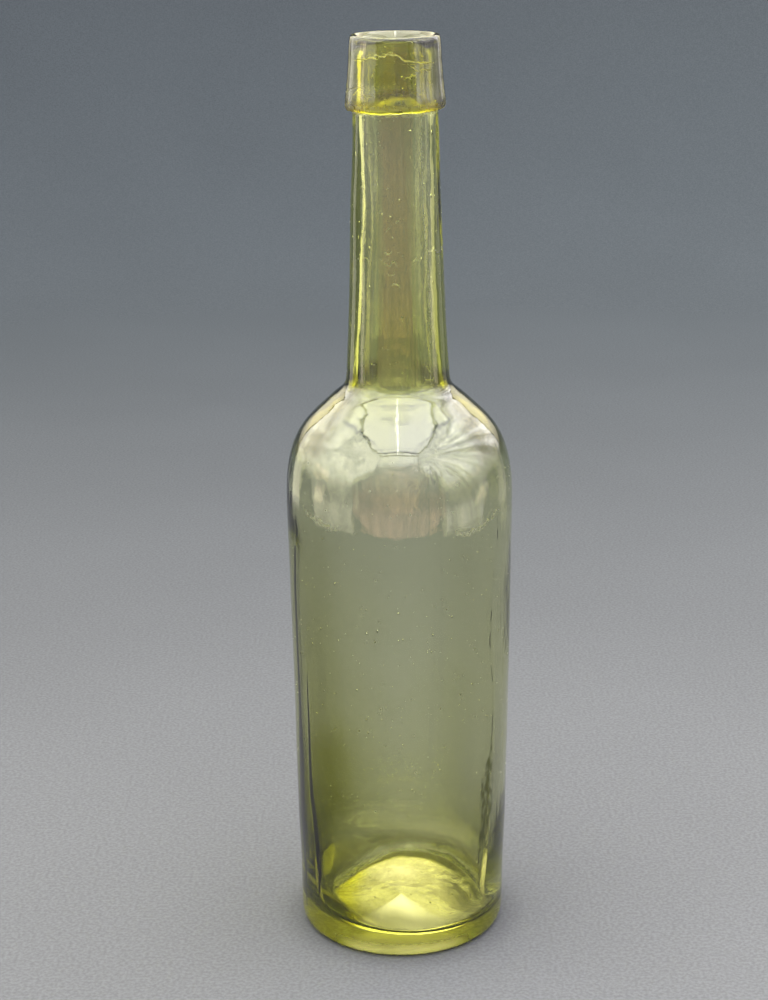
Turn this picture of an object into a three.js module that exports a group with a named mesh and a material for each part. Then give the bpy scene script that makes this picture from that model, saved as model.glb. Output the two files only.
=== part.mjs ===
// A hand-blown cylinder bottle in yellow-green glass, millimetres, +Z up.
// Two separate gathers of glass make it: the blown body (base, wall, shoulder and
// neck) and the applied collar, a tapered ring of glass that was laid round and
// over the end of the neck. The origin is on the axis, in the plane it stands on.
import * as THREE from 'three';

// ---- driving dimensions, mm ----
const HEIGHT = 307.6;          // resting plane to rim
const BODY_R_MAX = 38.0;       // just under the shoulder
const BODY_R_BASE = 35.6;      // just above the heel
const SHOULDER_Z = 153.0;      // where the wall turns into the shoulder
const NECK_ROOT_Z = 193.6;     // sharp turn from shoulder to neck
const NECK_ROOT_R = 18.3;
const NECK_TOP_R = 13.7;       // under the collar
const NECK_END_Z = 299.4;      // sheared end of the neck, inside the collar
const NECK_BORE_R = 10.4;      // at the sheared end
const COLLAR_Z0 = 284.3;       // lower lip of the collar
const COLLAR_R_BOTTOM = 16.15;
const COLLAR_R_TOP = 14.8;
const RIM_LAND_R = [11.7, 13.1]; // flat land round the mouth
const RING_R = [27.0, 31.6];   // flat ring that it stands on
const KICK_UP = 2.6;           // hollow under the middle of the base
const FLOOR_Z = 8.2;           // inner floor at the axis
const FLOOR_EDGE_Z = 6.4;      // inner floor near the wall
const FIT_GAP = 0.3;           // left between the two gathers
const SEGMENTS = 48;           // facets round the axis

// The neck was cut off with shears, so its end is not level.
const shear = (a) => 0.45 * Math.sin(2 * a + 0.7) + 0.3 * Math.sin(3 * a - 1.1) + 0.18 * Math.sin(7 * a);

// Revolves a closed half-section of [radius, height] pairs about Z. Where lift is
// given, it is the share of the shear line's height that a point takes.
function revolve(section) {
  const pts = section.map(([r, z]) => new THREE.Vector2(r, z));
  const g = new THREE.LatheGeometry(pts, SEGMENTS);
  const p = g.attributes.position;
  const n = section.length;
  for (let i = 0; i < p.count; i++) {
    const lift = section[i % n][2] || 0;
    if (lift) p.setY(i, p.getY(i) + lift * shear(Math.atan2(p.getX(i), p.getZ(i))));
  }
  g.rotateX(Math.PI / 2);
  g.computeVertexNormals();
  return g;
}

// Blown body: underside and outside going up, over the sheared end, inside going down.
const bodyOutside = [
  [0, KICK_UP], [9, KICK_UP - 0.25], [17, KICK_UP - 1.0], [23, 0.75], [RING_R[0], 0],
  [RING_R[1], 0], [33.5, 0.5], [34.8, 1.8], [35.4, 4.0], [BODY_R_BASE, 8],
  [35.75, 24], [36.35, 41], [36.8, 64], [37.15, 92], [37.5, 122], [37.85, 144],
  [BODY_R_MAX, SHOULDER_Z], [37.85, 159], [37.35, 165], [36.4, 170.4], [35.0, 174.8],
  [33.1, 178.6], [30.6, 182.0], [27.6, 185.2], [24.3, 188.3], [21.2, 191.2],
  [19.4, 192.6], [NECK_ROOT_R, NECK_ROOT_Z], [17.5, 195.0], [17.0, 197.4], [16.6, 207],
  [15.7, 227], [14.75, 251], [13.95, 272], [NECK_TOP_R, 284],
  [NECK_TOP_R - 0.1, NECK_END_Z - 1.2, 1], [NECK_TOP_R - 0.9, NECK_END_Z, 1],
];
const bodyInside = [
  [NECK_BORE_R + 0.8, NECK_END_Z, 1], [NECK_BORE_R, NECK_END_Z - 1.0, 1],
  [NECK_BORE_R + 0.05, 284], [10.7, 266], [11.3, 240], [12.1, 216], [12.9, 203],
  [13.5, 197.6], [14.8, 194.0], [17.3, 190.9], [20.8, 188.0], [24.8, 184.6],
  [28.4, 180.6], [31.4, 175.6], [33.6, 169.6], [34.8, 162.6], [35.2, 153],
  [34.7, 130], [34.0, 104], [33.2, 76], [32.4, 50], [31.6, 28], [31.0, 15],
  [30.3, 10.2], [28.7, 7.5], [26.0, FLOOR_EDGE_Z], [20, 6.8], [11, 7.7], [0, FLOOR_Z],
];

// Applied collar: a closed ring with a pocket that the neck's end sits in.
const g = FIT_GAP;
const collarSection = [
  [NECK_TOP_R + g, COLLAR_Z0], [15.3, COLLAR_Z0], [15.95, COLLAR_Z0 + 0.7],
  [COLLAR_R_BOTTOM, COLLAR_Z0 + 2.4], [15.9, 291], [15.35, 296], [14.98, 301],
  [COLLAR_R_TOP, 304.2], [14.5, 305.9], [13.9, 307.1], [RIM_LAND_R[1], HEIGHT],
  [RIM_LAND_R[0], HEIGHT], [11.1, 307.1], [10.65, 305.8], [10.42, 303.6],
  [NECK_BORE_R, NECK_END_Z + g + 0.7, 1], [NECK_BORE_R, NECK_END_Z + g, 1],
  [NECK_TOP_R - 0.9, NECK_END_Z + g, 1], [NECK_TOP_R - 0.1 + g, NECK_END_Z - 1.1 + g * 0.6, 1],
];
collarSection.push(collarSection[0].slice());

const glass = (color, roughness) => new THREE.MeshStandardMaterial({
  color, roughness, metalness: 0, transparent: true, opacity: 0.4,
});

const bottle = new THREE.Group();

const body = new THREE.Mesh(revolve([...bodyOutside, ...bodyInside]), glass(0xa3a45a, 0.06));
body.name = 'blown_body';
bottle.add(body);

const collar = new THREE.Mesh(revolve(collarSection), glass(0xb0ad58, 0.08));
collar.name = 'applied_collar';
bottle.add(collar);

export default bottle;
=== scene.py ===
# A mouth-blown glass bottle in yellow-green glass: the blown body and the applied
# collar, each as its own closed glass mesh with real wall thickness, seeds (small
# bubbles) and uneven inner surface, on a plain pale sweep in soft studio light.
# Painted shade: dark lines, steps and a patch in the body's colour; painted shade and a painted shadow on the cloth.
import math
import bpy
import numpy as np
from mathutils import Matrix, Vector


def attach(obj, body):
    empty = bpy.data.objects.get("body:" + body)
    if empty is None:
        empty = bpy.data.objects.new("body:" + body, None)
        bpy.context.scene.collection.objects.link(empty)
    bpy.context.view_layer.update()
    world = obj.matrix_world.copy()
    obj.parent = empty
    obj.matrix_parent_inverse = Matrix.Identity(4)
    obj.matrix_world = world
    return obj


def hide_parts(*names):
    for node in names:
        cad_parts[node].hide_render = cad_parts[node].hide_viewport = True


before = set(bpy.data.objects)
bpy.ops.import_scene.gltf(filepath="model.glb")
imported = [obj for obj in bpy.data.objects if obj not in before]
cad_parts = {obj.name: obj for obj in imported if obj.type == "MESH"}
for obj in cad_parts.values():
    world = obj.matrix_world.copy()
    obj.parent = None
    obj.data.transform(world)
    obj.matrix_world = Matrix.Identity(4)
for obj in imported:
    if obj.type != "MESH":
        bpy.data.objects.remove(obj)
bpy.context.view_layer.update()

MM = 0.001
# angles round the axis, closer together where the inner wall has its steps
ANGLES = np.radians(np.concatenate([np.linspace(204, 219, 32, endpoint=False), np.linspace(219, 319, 42, endpoint=False),
                                    np.linspace(319, 335, 32, endpoint=False), np.linspace(335, 564, 94, endpoint=False)]))
AROUND = len(ANGLES)


# ----------------------------------------------------------------------------- camera
F_PX, PITCH, DIST, CAM_H = 2100.0, math.radians(17.45), 0.675, 0.366
ROLL, CX = math.radians(-0.62), 399.3
yaw = math.atan((CX - 384) / F_PX)
cam = bpy.data.cameras.new("camera")
cam.lens = F_PX * 36.0 / 1000.0
cam.sensor_width = 36.0
cam_ob = bpy.data.objects.new("camera", cam)
bpy.context.scene.collection.objects.link(cam_ob)
right0 = Vector((math.cos(yaw), math.sin(yaw), 0))
fwd_h = Vector((-math.sin(yaw), math.cos(yaw), 0))
fwd = fwd_h * math.cos(PITCH) - Vector((0, 0, 1)) * math.sin(PITCH)
up0 = right0.cross(fwd)
right_c = right0 * math.cos(ROLL) + up0 * math.sin(ROLL)
up_c = up0 * math.cos(ROLL) - right0 * math.sin(ROLL)
rot = Matrix((right_c, up_c, -fwd)).transposed()
cam_ob.matrix_world = Matrix.Translation(Vector((0, -DIST, CAM_H))) @ rot.to_4x4()
cam.clip_start, cam.clip_end = 0.01, 20
bpy.context.scene.camera = cam_ob


# ---------------------------------------------------------------- section curves
def catmull(points, ds):
    """Centripetal Catmull-Rom through 2-D points, sampled about every ds."""
    p = np.array(points, float)
    q = np.vstack([2 * p[0] - p[1], p, 2 * p[-1] - p[-2]])
    out = []
    for i in range(1, len(q) - 2):
        p0, p1, p2, p3 = q[i - 1], q[i], q[i + 1], q[i + 2]
        t0 = 0.0
        t1 = t0 + max(np.linalg.norm(p1 - p0), 1e-9) ** 0.5
        t2 = t1 + max(np.linalg.norm(p2 - p1), 1e-9) ** 0.5
        t3 = t2 + max(np.linalg.norm(p3 - p2), 1e-9) ** 0.5
        n = max(1, int(round(np.linalg.norm(p2 - p1) / ds)))
        for k in range(n):
            t = t1 + (t2 - t1) * k / n
            a1 = (t1 - t) / (t1 - t0) * p0 + (t - t0) / (t1 - t0) * p1
            a2 = (t2 - t) / (t2 - t1) * p1 + (t - t1) / (t2 - t1) * p2
            a3 = (t3 - t) / (t3 - t2) * p2 + (t - t2) / (t3 - t2) * p3
            b1 = (t2 - t) / (t2 - t0) * a1 + (t - t0) / (t2 - t0) * a2
            b2 = (t3 - t) / (t3 - t1) * a2 + (t - t1) / (t3 - t1) * a3
            out.append((t2 - t) / (t2 - t1) * b1 + (t - t1) / (t2 - t1) * b2)
    out.append(p[-1])
    return np.array(out)


def chain(*parts):
    """Joins section pieces end to end, dropping the doubled points."""
    out = [parts[0]]
    for p in parts[1:]:
        out.append(p[1:])
    return np.vstack(out)


def smooth(x, lo, hi):
    t = np.clip((np.asarray(x, float) - lo) / (hi - lo), 0, 1)
    return t * t * (3 - 2 * t)


def waves(a, z, seed, count, m_max, wavelength, power=1.0):
    """A smooth uneven field round the axis: waves in angle a and height z (mm), about unit size."""
    rng = np.random.RandomState(seed)
    out = np.zeros(np.broadcast(a, z).shape)
    total = 0.0
    for _ in range(count):
        m = rng.randint(0, m_max + 1)
        k = rng.uniform(-1, 1) * 2 * math.pi / wavelength
        w = rng.uniform(0.4, 1.0) / (1 + 0.15 * m) ** power
        out = out + w * np.cos(m * a + k * z + rng.uniform(0, 2 * math.pi))
        total += w * w / 2
    return out / math.sqrt(total)


# ------------------------------------------------------------------- dimensions, mm
HEIGHT = 307.6
LIP_Z = 284.3
END_Z = 299.4
BORE_R = 10.4
NECK_R = 13.7


def shear(a):
    return 0.45 * np.sin(2 * a + 0.7) + 0.3 * np.sin(3 * a - 1.1) + 0.18 * np.sin(7 * a)


# outside of the body, from the axis underneath to the sheared end of the neck
UNDER = catmull([(0, 2.6), (9, 2.35), (17, 1.6), (22.5, 0.8), (25.8, 0.2), (27.4, 0)], 1.1)
RING = catmull([(27.4, 0), (29.4, 0.0), (31.2, 0)], 0.9)
HEEL = catmull([(31.2, 0), (32.5, 0.12), (33.6, 0.5), (34.5, 1.3), (35.1, 2.5), (35.42, 4.2),
                (35.56, 6.5), (35.62, 10)], 0.4)
WALL = catmull([(35.62, 10), (35.75, 24), (36.3, 41), (36.62, 57), (36.9, 71), (37.07, 87),
                (37.25, 102), (37.4, 117), (37.62, 131), (37.83, 143), (37.98, 153)], 2.8)
DOME = catmull([(37.98, 153), (37.9, 159), (37.5, 164.6), (36.55, 170), (35.1, 174.6),
                (33.1, 178.6), (30.6, 182.0), (27.6, 185.2), (24.3, 188.3), (21.4, 191.0),
                (19.8, 192.3), (18.6, 193.4)], 1.2)
ROOT = catmull([(18.6, 193.4), (18.0, 194.2), (17.5, 195.3), (17.15, 197.0), (16.95, 199.5)], 0.45)
NECK = catmull([(16.95, 199.5), (16.65, 206), (16.2, 215), (15.7, 227), (15.2, 239),
                (14.74, 251), (14.2, 263), (13.82, 275), (13.72, 282)], 2.6)
UNDER_LIP = np.array([(13.72, 282), (13.71, 283), (13.7, 284), (13.7, 284.27), (13.7, 284.33), (13.7, 284.38),
                      (13.7, 284.7), (13.7, 285.5), (13.7, 286.5)])
IN_COLLAR = catmull([(13.7, 286.5), (13.65, 292), (13.6, 298.2)], 1.6)
END_OUT = catmull([(13.6, 298.2), (13.5, 298.8), (13.1, 299.25), (12.6, 299.4)], 0.25)
END_FACE = catmull([(12.6, 299.4), (11.6, 299.4), (10.43, 299.4)], 0.35)
END_IN = np.array([(10.43, 299.4), (10.4, 299.38)])
BORE_TOP = np.array([(10.4, 299.38), (10.4, 299.34), (10.4, 299.2), (10.4, 298.6), (10.4, 297.0)])
BORE = catmull([(10.4, 297.0), (10.45, 284), (10.7, 266), (11.3, 240), (12.1, 216), (12.9, 203),
                (13.4, 198.0)], 2.6)
IN_ROOT = catmull([(13.4, 198.0), (13.9, 195.6), (15.0, 193.2), (16.8, 191.0)], 0.6)
IN_DOME = catmull([(16.8, 191.0), (20.6, 188.2), (24.8, 185.0), (28.7, 181.1), (31.9, 176.1),
                   (34.3, 169.8), (35.6, 162.4), (36.0, 153)], 1.3)
IN_WALL = catmull([(36.0, 153), (35.6, 130), (35.1, 104), (34.5, 76), (33.4, 50), (31.7, 28),
                   (31.0, 17)], 2.7)
FILLET = catmull([(31.0, 17), (30.7, 12.6), (30.0, 9.4), (28.6, 7.2), (26.4, 6.3)], 0.45)
FLOOR = catmull([(26.4, 6.3), (22, 6.5), (15, 7.2), (8, 7.9), (0, 8.2)], 1.1)

BODY_PARTS = [("out", UNDER), ("out", RING), ("out", HEEL), ("out", WALL), ("out", DOME),
              ("out", ROOT), ("out", NECK), ("out", UNDER_LIP), ("out", IN_COLLAR),
              ("out", END_OUT), ("out", END_FACE), ("in", END_IN), ("in", BORE_TOP), ("in", BORE),
              ("in", IN_ROOT), ("in", IN_DOME), ("in", IN_WALL), ("in", FILLET), ("in", FLOOR)]


def section(parts):
    """Section points and a mark for each: 0 outside, 1 inside."""
    pts, side = [parts[0][1]], [np.full(len(parts[0][1]), parts[0][0] == "in", float)]
    for s, p in parts[1:]:
        pts.append(p[1:])
        side.append(np.full(len(p) - 1, s == "in", float))
    return np.vstack(pts), np.concatenate(side)


# ------------------------------------------------------- how the blown form is uneven
def bow(z):
    """The axis of the blown form bends a little, as the hot bottle did."""
    return 0.30 * np.sin(np.pi * np.clip(z / 300.0, 0, 1)) + 0.12 * np.sin(2 * np.pi * z / 300.0)


def lip_dip(a, z):
    """How far the lip and the neck's ring under it sag, mostly at the back."""
    dip = 0.8 * smooth(np.sin(a), -0.2, 0.5) + 0.13 * waves(a, 0 * z, 51, 16, 24, 40)
    return dip * smooth(z, 277, 283.5) * (1 - smooth(z, 286, 292))


def outer_push(a, z):
    body = 1 - smooth(z, 186, 200)
    neck = smooth(z, 196, 206) * (1 - smooth(z, 276, 283))
    fade = smooth(z, 3, 14)
    d = body * fade * (0.06 * waves(a, z, 11, 14, 4, 70) + 0.02 * waves(a, z, 12, 18, 9, 26))
    d = d + neck * (0.08 * waves(a, z, 13, 10, 3, 60) + 0.03 * waves(a, z, 14, 14, 7, 30))
    return d


def turn(a, centre):
    """Angle from a centre given in degrees, in degrees, -180 to 180."""
    return (np.degrees(a) - centre + 180) % 360 - 180


def inner_push(a, z):
    body = 1 - smooth(z, 182, 196)
    neck = smooth(z, 198, 210) * (1 - smooth(z, 284, 294))
    fade = smooth(z, 9, 22)
    d = body * fade * (0.07 * waves(a, z, 21, 14, 4, 80) + 0.025 * waves(a, z, 22, 22, 9, 24))
    d = d + neck * (0.16 * waves(a, z, 23, 10, 3, 70) + 0.06 * waves(a, z, 24, 14, 6, 26))
    # the hollow is wider from side to side: thin glass on the left and right, each thin part
    # ending in a step towards the front, and thicker glass on the left of the front and back
    t = turn(a, 180)
    step = np.interp(z, [16, 27, 36, 44, 50, 56, 78, 99], [31.3, 32.6, 32.0, 31.4, 30.2, 29.2, 29.4, 29.8])
    wide = 1.1 + 7.0 * smooth(z, 84, 120)
    left = smooth(t, -58, -30) * (1 - smooth(t, step - wide, step + wide))
    d = d + left * np.interp(z, [10, 14, 18, 28, 41, 53, 66, 79, 94, 123, 143, 160],
                             [0, 0.6, 1.3, 2.2, 1.8, 1.2, 0.65, 0.35, 0.2, 0, -0.5, 0])
    lobe = smooth(t, step - wide, step + wide) * (1 - smooth(t, 50, 86))
    lobe = lobe + (1 - smooth(t, -44, -26)) * smooth(t, -92, -60)
    d = d - lobe * np.interp(z, [10, 18, 28, 50, 76, 104, 140, 165], [0, 0.5, 0.9, 1.1, 0.8, 0.45, 0.25, 0])
    t = -turn(a, 360)
    step = np.interp(z, [18, 30, 37, 48, 54, 65, 75, 91, 108, 125, 140], [35, 34, 33.5, 33.5, 33.5, 32.5, 30.8, 30.5, 32, 32, 29])
    wide = 1.2 + 5.0 * smooth(z, 110, 140)
    right = smooth(t, -62, -36) * (1 - smooth(t, step - wide, step + wide))
    d = d + right * np.interp(z, [10, 14, 18, 24, 30, 41, 53, 66, 79, 94, 123, 143, 160],
                              [0, 0.3, 0.8, 1.4, 1.9, 2.0, 1.6, 1.1, 0.8, 0.6, 0.4, 0.2, 0])
    return d


def body_point(r, z, a, inside):
    """A section point (r, z) at angle a, in mm, with the uneven wall. All arrays of one shape."""
    push = np.where(inside > 0.5, inner_push(a, z), outer_push(a, z))
    rr = r + push * smooth(r, 3, 9)
    x = rr * np.cos(a)
    y = rr * np.sin(a)
    zz = z.copy()
    # the sheared end
    lift = smooth(z, 290, 298.5)
    zz = zz + lift * shear(a)
    zz = zz - lip_dip(a, z) * (1 - inside)
    # the hollow stands a little off centre
    off = inside * (1 - smooth(z, 170, 192)) * smooth(z, 6, 20)
    x = x - off * 0.25 * smooth(r, 2, 20)
    x = x + inside * (1 - smooth(z, 9, 20)) * 2.8
    # uneven inner floor and underside
    fl = inside * (1 - smooth(z, 9.5, 14))
    zz = zz + fl * 0.22 * waves(a, r * 1.0, 31, 12, 5, 22) * smooth(r, 2, 12)
    fl = fl * (1 - smooth(r, 25, 29))
    zz = zz + fl * 0.03 * bumps(x, y, 32, 4.0)
    un = (1 - inside) * (1 - smooth(z, 2.7, 3.2)) * (1 - smooth(r, 22, 26.5))
    zz = zz + un * 0.03 * bumps(x, y, 33, 5.0)
    # out of plumb and bowed
    x = x + bow(z)
    return x, y, zz


def bumps(x, y, seed, size):
    """A smooth uneven field on the plane, of about unit size."""
    rng = np.random.RandomState(seed)
    out = np.zeros(np.broadcast(x, y).shape)
    for _ in range(24):
        t, k = rng.uniform(0, math.pi), 2 * math.pi / (size * rng.uniform(0.7, 1.8))
        out = out + np.cos(k * (x * math.cos(t) + y * math.sin(t)) + rng.uniform(0, 2 * math.pi))
    return out / math.sqrt(12)


def revolve(pts, side, point, fused, loop=False):
    """Vertices, faces and the fused attribute of a revolved section, faces out for a section
    that goes up the outside and down the inside."""
    n = len(pts)
    A, R = np.meshgrid(ANGLES, pts[:, 0], indexing="xy")
    Z = np.repeat(pts[:, 1][:, None], AROUND, 1)
    S = np.repeat(side[:, None], AROUND, 1)
    x, y, z = point(R, Z, A, S)
    f = np.stack([fused(R, Z, A, S), S], -1)
    co = np.stack([x, y, z], -1)
    verts, att = [], []
    index = np.zeros((n, AROUND), int)
    k = 0
    for i in range(n):
        if pts[i, 0] < 1e-9:
            verts.append(co[i].mean(0)[None])
            att.append(f[i].mean(0)[None])
            index[i] = k
            k += 1
        else:
            verts.append(co[i])
            att.append(f[i])
            index[i] = np.arange(k, k + AROUND)
            k += AROUND
    verts = np.vstack(verts)
    att = np.vstack(att)
    faces = []
    rows = list(range(n - 1)) + ([n - 1] if loop else [])
    for i in rows:
        lo, hi = index[i], index[(i + 1) % n]
        for j in range(AROUND):
            q = (j + 1) % AROUND
            f4 = [lo[j], lo[q], hi[q], hi[j]]
            f4 = [v for m, v in enumerate(f4) if v != f4[m - 1]]
            faces.append(f4)
    return verts, faces, att


# ------------------------------------------------------------------ seeds and cracks
def ico(level):
    t = (1 + 5 ** 0.5) / 2
    v = [(-1, t, 0), (1, t, 0), (-1, -t, 0), (1, -t, 0), (0, -1, t), (0, 1, t), (0, -1, -t),
         (0, 1, -t), (t, 0, -1), (t, 0, 1), (-t, 0, -1), (-t, 0, 1)]
    f = [(0, 11, 5), (0, 5, 1), (0, 1, 7), (0, 7, 10), (0, 10, 11), (1, 5, 9), (5, 11, 4),
         (11, 10, 2), (10, 7, 6), (7, 1, 8), (3, 9, 4), (3, 4, 2), (3, 2, 6), (3, 6, 8),
         (3, 8, 9), (4, 9, 5), (2, 4, 11), (6, 2, 10), (8, 6, 7), (9, 8, 1)]
    v = [np.array(p, float) / np.linalg.norm(p) for p in v]
    for _ in range(level):
        mid, g = {}, []
        def m(i, j):
            key = (min(i, j), max(i, j))
            if key not in mid:
                p = v[i] + v[j]
                v.append(p / np.linalg.norm(p))
                mid[key] = len(v) - 1
            return mid[key]
        for i, j, k in f:
            p, q, r = m(i, j), m(j, k), m(k, i)
            g += [(i, p, r), (j, q, p), (k, r, q), (p, q, r)]
        f = g
    return np.array(v), f


ICO1 = ico(1)
ICO2 = ico(2)


def profile_at(z, curve_parts):
    c = chain(*curve_parts)
    o = np.argsort(c[:, 1])
    return np.interp(z, c[o, 1], c[o, 0])


def signed_volume(verts, faces):
    tri = np.array([(f[0], f[i], f[i + 1]) for f in faces for i in range(1, len(f) - 1)])
    p, q, r = verts[tri[:, 0]], verts[tri[:, 1]], verts[tri[:, 2]]
    return float(np.einsum("ij,ij->i", p, np.cross(q, r)).sum() / 6)


def add_shells(verts, faces, att, shells):
    """Adds closed hollows inside the glass, their faces turned in."""
    verts, faces, att = [verts], list(faces), [att]
    base = len(verts[0])
    for v, f in shells:
        if signed_volume(v, f) > 0:
            f = [t[::-1] for t in f]
        verts.append(v)
        att.append(np.tile([0.0, 1.0], (len(v), 1)))
        faces += [[base + i for i in t] for t in f]
        base += len(v)
    return np.vstack(verts), faces, np.vstack(att)


def seed_shell(c, ra, ru, rr, lean=0.0, level=1):
    """An ellipsoid hollow: radii round the axis, up and outward from it; lean tips it over."""
    v, f = ICO2 if level > 1 else ICO1
    ang = math.atan2(c[1], c[0])
    er = np.array([math.cos(ang), math.sin(ang), 0])
    et0 = np.array([-math.sin(ang), math.cos(ang), 0])
    ez0 = np.array([0, 0, 1.0])
    et = et0 * math.cos(lean) + ez0 * math.sin(lean)
    ez = ez0 * math.cos(lean) - et0 * math.sin(lean)
    return c + v[:, :1] * et * ra + v[:, 1:2] * ez * ru + v[:, 2:] * er * rr, f


def tube_shell(path, radii, flat=1.0, sides=8):
    """A drawn-out hollow along a path of points, its ends closed to a point."""
    p = np.array(path, float)
    n = len(p)
    tang = np.gradient(p, axis=0)
    tang /= np.linalg.norm(tang, axis=1)[:, None]
    out = np.stack([p[:, 0], p[:, 1], 0 * p[:, 2]], -1)
    out /= np.linalg.norm(out, axis=1)[:, None]
    side = np.cross(tang, out)
    side /= np.linalg.norm(side, axis=1)[:, None]
    out = np.cross(side, tang)
    v, f = [p[0] - tang[0] * radii[0]], []
    for i in range(n):
        for j in range(sides):
            t = 2 * math.pi * j / sides
            v.append(p[i] + radii[i] * (math.cos(t) * side[i] + flat * math.sin(t) * out[i]))
    v.append(p[-1] + tang[-1] * radii[-1])
    for j in range(sides):
        k = (j + 1) % sides
        f.append([0, 1 + k, 1 + j])
        f.append([len(v) - 1, 1 + (n - 1) * sides + j, 1 + (n - 1) * sides + k])
        for i in range(n - 1):
            a_, b_ = 1 + i * sides, 1 + (i + 1) * sides
            f.append([a_ + j, a_ + k, b_ + k, b_ + j])
    return np.array(v), f


def skin_point(px, py, deep, parts, ior=1.52):
    """The point that the camera sees at a pixel, this deep (mm) below the outer skin."""
    c = chain(*parts)
    o = np.argsort(c[:, 1])
    zs, rs = c[o, 1], c[o, 0]
    d = fwd + right_c * ((px - 384) / F_PX) - up_c * ((py - 500) / F_PX)
    d = np.array(d.normalized())
    cam_p = np.array([0, -DIST * 1000, CAM_H * 1000])

    def inside(t):
        p = cam_p + d * t
        return math.hypot(p[0] - bow(p[2]), p[1]) < np.interp(p[2], zs, rs, left=0, right=0)

    t = 560.0
    while t < 820 and not inside(t):
        t += 0.5
    lo, hi = t - 0.5, t
    for _ in range(14):
        mid = (lo + hi) / 2
        lo, hi = (lo, mid) if inside(mid) else (mid, hi)
    p = cam_p + d * hi
    slope = (np.interp(p[2] + 0.4, zs, rs) - np.interp(p[2] - 0.4, zs, rs)) / 0.8
    ang = math.atan2(p[1], p[0] - bow(p[2]))
    n = np.array([math.cos(ang), math.sin(ang), -slope])
    n /= np.linalg.norm(n)
    cos_i = -float(np.dot(d, n))
    sin2 = (1 - cos_i ** 2) / ior ** 2
    r = d / ior + n * (cos_i / ior - math.sqrt(1 - sin2))
    return p + r * (deep / max(0.35, -float(np.dot(r, n))))


OUT_SKIN = [HEEL, WALL, DOME, ROOT, NECK, UNDER_LIP, IN_COLLAR]
IN_SKIN = [BORE_TOP, BORE, IN_ROOT, IN_DOME, IN_WALL, FILLET]


def random_seeds(rng, count, zones, taken):
    """Seeds scattered through the wall. Zones are (share, z from, z to, longest)."""
    shells = []
    for _ in range(count):
        u, k = rng.uniform(), 0
        while u > zones[k][0]:
            k += 1
        _, z0, z1, longest = zones[k]
        z, ang = rng.uniform(z0, z1), rng.uniform(0, 2 * math.pi)
        size = 0.13 + 0.22 * rng.uniform() ** 2.2
        long = rng.uniform(1.0, longest)
        t = rng.uniform(0.3, 0.7)
        one = lambda v: np.array([float(v)])
        po = body_point(one(profile_at(z, OUT_SKIN)), one(z), one(ang), one(0))
        pi = body_point(one(profile_at(z, IN_SKIN)), one(z), one(ang), one(1))
        po, pi = np.array(po).ravel(), np.array(pi).ravel()
        wall = np.linalg.norm(po[:2] - pi[:2])
        c = (1 - t) * po + t * pi
        if wall < 1.1 or any(np.linalg.norm(c - q) < r + size * long + 0.15 for q, r in taken):
            continue
        taken.append((c, size * long))
        shells.append(seed_shell(c, size, size * long, min(size * 0.8, wall * 0.2)))
    return shells


# ------------------------------------------------------------------------ the pieces
def make_piece(name, verts, faces, att):
    me = bpy.data.meshes.new(name)
    me.from_pydata((verts * MM).tolist(), [], faces)
    me.update()
    for k, what in enumerate(("fused", "inner")):
        at = me.attributes.new(what, "FLOAT", "POINT")
        at.data.foreach_set("value", np.ascontiguousarray(att[:, k], np.float32))
    me.shade_smooth()
    ob = bpy.data.objects.new(name, me)
    bpy.context.scene.collection.objects.link(ob)
    return ob


def fused_body(r, z, a, inside):
    """1 where the neck's outside has melted into the collar, 0 where a surface is free."""
    f = smooth(z, LIP_Z + 0.03, LIP_Z + 0.08) * (inside < 0.5)
    return f * np.where(r < 10.41, 0.0, 1.0)


pts, side = section(BODY_PARTS)
bv, bf, ba = revolve(pts, side, body_point, fused_body)

taken, shells = [], []
# the tear-shaped bubble low on the right, with its tail
tear = [skin_point(477.3, y_, 1.2, OUT_SKIN) for y_ in (864.5, 863, 860.5, 857.5, 855, 852.5, 850)]
shells.append(tube_shell(tear, [0.5, 0.78, 0.82, 0.5, 0.24, 0.15, 0.08], 0.9, 16))
taken.append((tear[0], 1.6))
# larger seeds where the photograph shows them
for px_, py_, ra, ru in [(480.5, 887, .28, .3), (497, 891, .3, .34), (303.5, 805, .16, .22),
                         (316.6, 842, .2, .22), (318.8, 877, .22, .24), (322, 876, .18, .2), (343, 797, .3, .42),
                         (345, 797, .16, .3), (317, 713, .3, .16), (331, 732, .22, .22), (314, 744, .2, .2),
                         (305.5, 645, .16, .2), (472, 684, .2, .2), (474, 600, .2, .14), (307, 681, .22, .16),
                         (502.5, 734, .2, .16), (479, 700, .18, .18), (487, 716, .2, .2), (306, 585, .16, .26),
                         (357, 690, .2, .2), (403, 640, .16, .16), (440, 770, .2, .2), (382, 720, .16, .2),
                         (420, 810, .2, .2), (366, 610, .14, .18), (450, 560, .16, .2), (338, 640, .16, .16)]:
    c_ = skin_point(px_, py_, 0.9, OUT_SKIN)
    if c_[2] < 3 or math.hypot(c_[0] - bow(c_[2]), c_[1]) > profile_at(c_[2], OUT_SKIN) - 0.4:
        continue
    if any(np.linalg.norm(c_ - q) < r + max(ra, ru) + 0.15 for q, r in taken):
        continue
    taken.append((c_, max(ra, ru)))
    shells.append(seed_shell(c_, ra * 1.35, ru * 1.35, min(ra * 1.3, 0.4), 0.0, 2))
shells += random_seeds(np.random.RandomState(77), 300, [(0.72, 12, 186, 1.8), (1.01, 200, 296, 3.0)], taken)
bv, bf, ba = add_shells(bv, bf, ba, shells)
body = make_piece("blown_body_glass", bv, bf, ba)

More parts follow.
